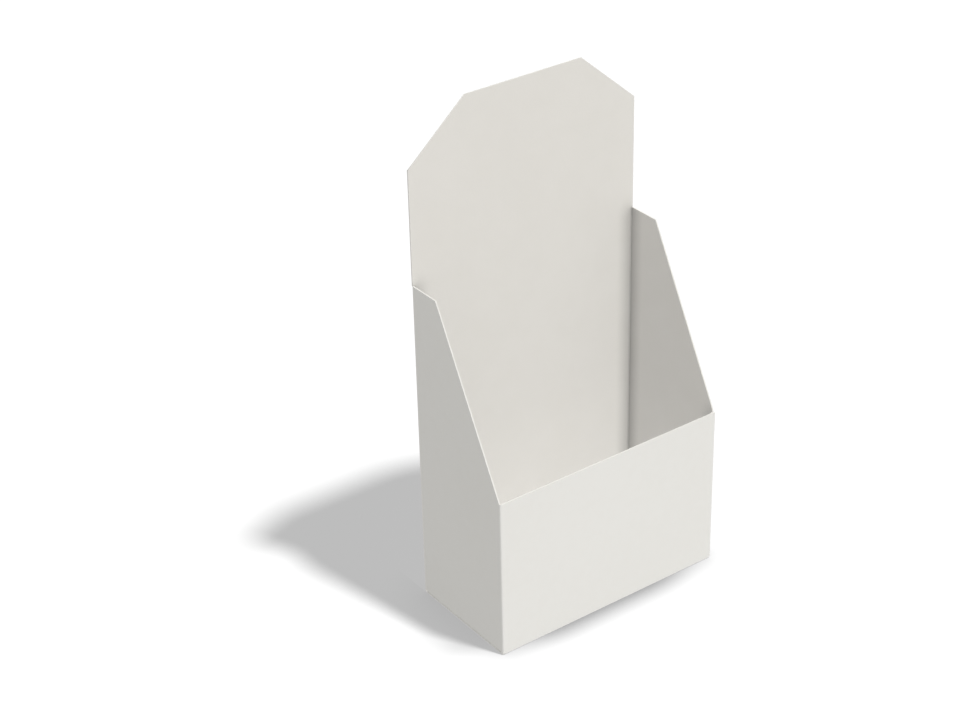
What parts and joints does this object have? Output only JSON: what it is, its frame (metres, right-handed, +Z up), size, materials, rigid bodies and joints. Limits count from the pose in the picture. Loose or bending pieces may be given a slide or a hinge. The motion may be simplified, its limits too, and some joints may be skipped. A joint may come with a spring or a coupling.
{
  "type": "cardboard display stand",
  "caption": "Counter stand folded from white board, with a tall back panel with cut corners, sloping side panels and a low front panel, to hold leaflets.",
  "frame": {"origin": "middle of the footprint, on the surface that the stand rests on", "axes": "+X to the right as seen from the front, +Y from the front panel to the back panel, +Z up"},
  "size_m": [0.1508, 0.0754, 0.3],
  "materials": {
    "white_board": "matte off-white board, plain on both faces"
  },
  "bodies": {
    "root": {"display_stand": "white_board"}
  },
  "joints": []
}
